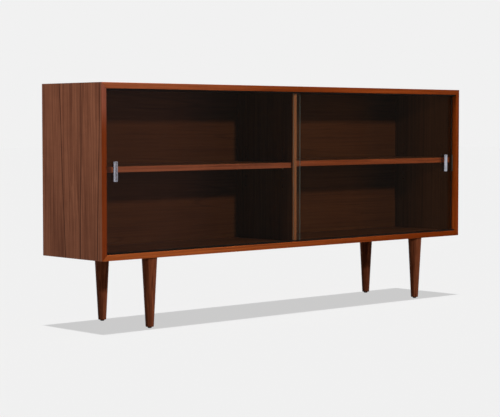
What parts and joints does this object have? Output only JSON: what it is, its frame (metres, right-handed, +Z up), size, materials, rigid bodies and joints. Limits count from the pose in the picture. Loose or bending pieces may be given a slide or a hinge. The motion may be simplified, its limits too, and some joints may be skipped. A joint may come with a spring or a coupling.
{
  "type": "bookcase with sliding doors",
  "caption": "Low, wide bookcase on turned tapered legs, with an upright divider, adjustable shelves and frameless glass doors that slide past each other.",
  "frame": {"origin": "on the floor, under the middle of the case", "axes": "+Z up, the front with the glass doors faces -Y, +X to the right as seen from the front"},
  "size_m": [1.638, 0.305, 0.752],
  "materials": {
    "walnut": "veneered and edged boards, satin oil finish, straight grain with dark streaks",
    "leg_walnut": "solid wood, turned smooth, satin oil finish",
    "plywood": "veneered plywood, thinly sealed",
    "glass": "clear float glass, polished edges",
    "aluminium": "satin, dished",
    "felt": "pressed felt strip, self-adhesive",
    "track_plastic": "extruded, dark brown, dull",
    "glide_plastic": "moulded, dull",
    "brass": "plated, slightly dulled",
    "steel": "zinc plated"
  },
  "bodies": {
    "case": {"top_board": "walnut", "bottom_board": "walnut", "left_side_board": "walnut", "right_side_board": "walnut", "centre_divider": "walnut", "left_shelf": "walnut", "right_shelf": "walnut", "bottom_left_spline": "plywood", "bottom_right_spline": "plywood", "top_left_spline": "plywood", "top_right_spline": "plywood", "back_panel": "plywood", "back_screw_01": "steel", "back_screw_02": "steel", "back_screw_03": "steel", "back_screw_04": "steel", "back_screw_05": "steel", "back_screw_06": "steel", "back_screw_07": "steel", "back_screw_08": "steel", "back_screw_09": "steel", "back_screw_10": "steel", "back_screw_11": "steel", "back_screw_12": "steel", "lower_track": "track_plastic", "upper_track": "track_plastic", "left_shelf_front_end_pin": "brass", "left_shelf_front_divider_pin": "brass", "left_shelf_rear_end_pin": "brass", "left_shelf_rear_divider_pin": "brass", "right_shelf_front_end_pin": "brass", "right_shelf_front_divider_pin": "brass", "right_shelf_rear_end_pin": "brass", "right_shelf_rear_divider_pin": "brass", "left_door_bumper": "felt", "right_door_bumper": "felt", "front_left_leg": "leg_walnut", "front_left_leg_insert": "steel", "front_left_leg_bolt": "steel", "front_left_glide": "glide_plastic", "front_right_leg": "leg_walnut", "front_right_leg_insert": "steel", "front_right_leg_bolt": "steel", "front_right_glide": "glide_plastic", "rear_left_leg": "leg_walnut", "rear_left_leg_insert": "steel", "rear_left_leg_bolt": "steel", "rear_left_glide": "glide_plastic", "rear_right_leg": "leg_walnut", "rear_right_leg_insert": "steel", "rear_right_leg_bolt": "steel", "rear_right_glide": "glide_plastic"},
    "left_door": {"left_door_glass": "glass", "left_door_pull": "aluminium"},
    "right_door": {"right_door_glass": "glass", "right_door_pull": "aluminium"}
  },
  "joints": [
    {"name": "left_door_slide", "type": "slide", "parent": "case", "child": "left_door", "axis": [1, 0, 0], "range_m": [0, 0.7895]},
    {"name": "right_door_slide", "type": "slide", "parent": "case", "child": "right_door", "axis": [1, 0, 0], "range_m": [-0.7895, 0]}
  ]
}
